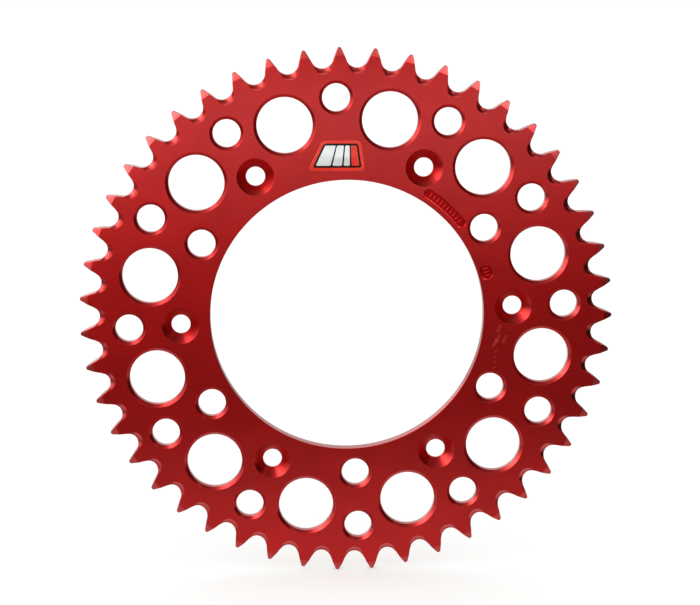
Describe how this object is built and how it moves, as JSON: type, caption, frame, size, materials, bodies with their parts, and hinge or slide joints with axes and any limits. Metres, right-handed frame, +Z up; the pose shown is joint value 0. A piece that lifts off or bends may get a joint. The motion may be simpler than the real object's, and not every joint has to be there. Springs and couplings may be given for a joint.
{
  "type": "rear sprocket",
  "caption": "Flat toothed chain wheel with a central bore, countersunk bolt holes, rings of lightening holes and mud grooves between its teeth.",
  "frame": {"origin": "centre of the bore, halfway through the plate's thickness", "axes": "the sprocket's axis lies along Y: -Y looks out of the front, countersunk face, +Y out of the face that bolts to the hub; +Z is up and +X is to the right, seen from the front"},
  "size_m": [0.2456, 0.0066, 0.2457],
  "materials": {
    "plate": "red anodised, finely brushed",
    "badge": "printed film, gloss"
  },
  "bodies": {
    "root": {"sprocket_plate": "plate", "badge": "badge"}
  },
  "joints": []
}
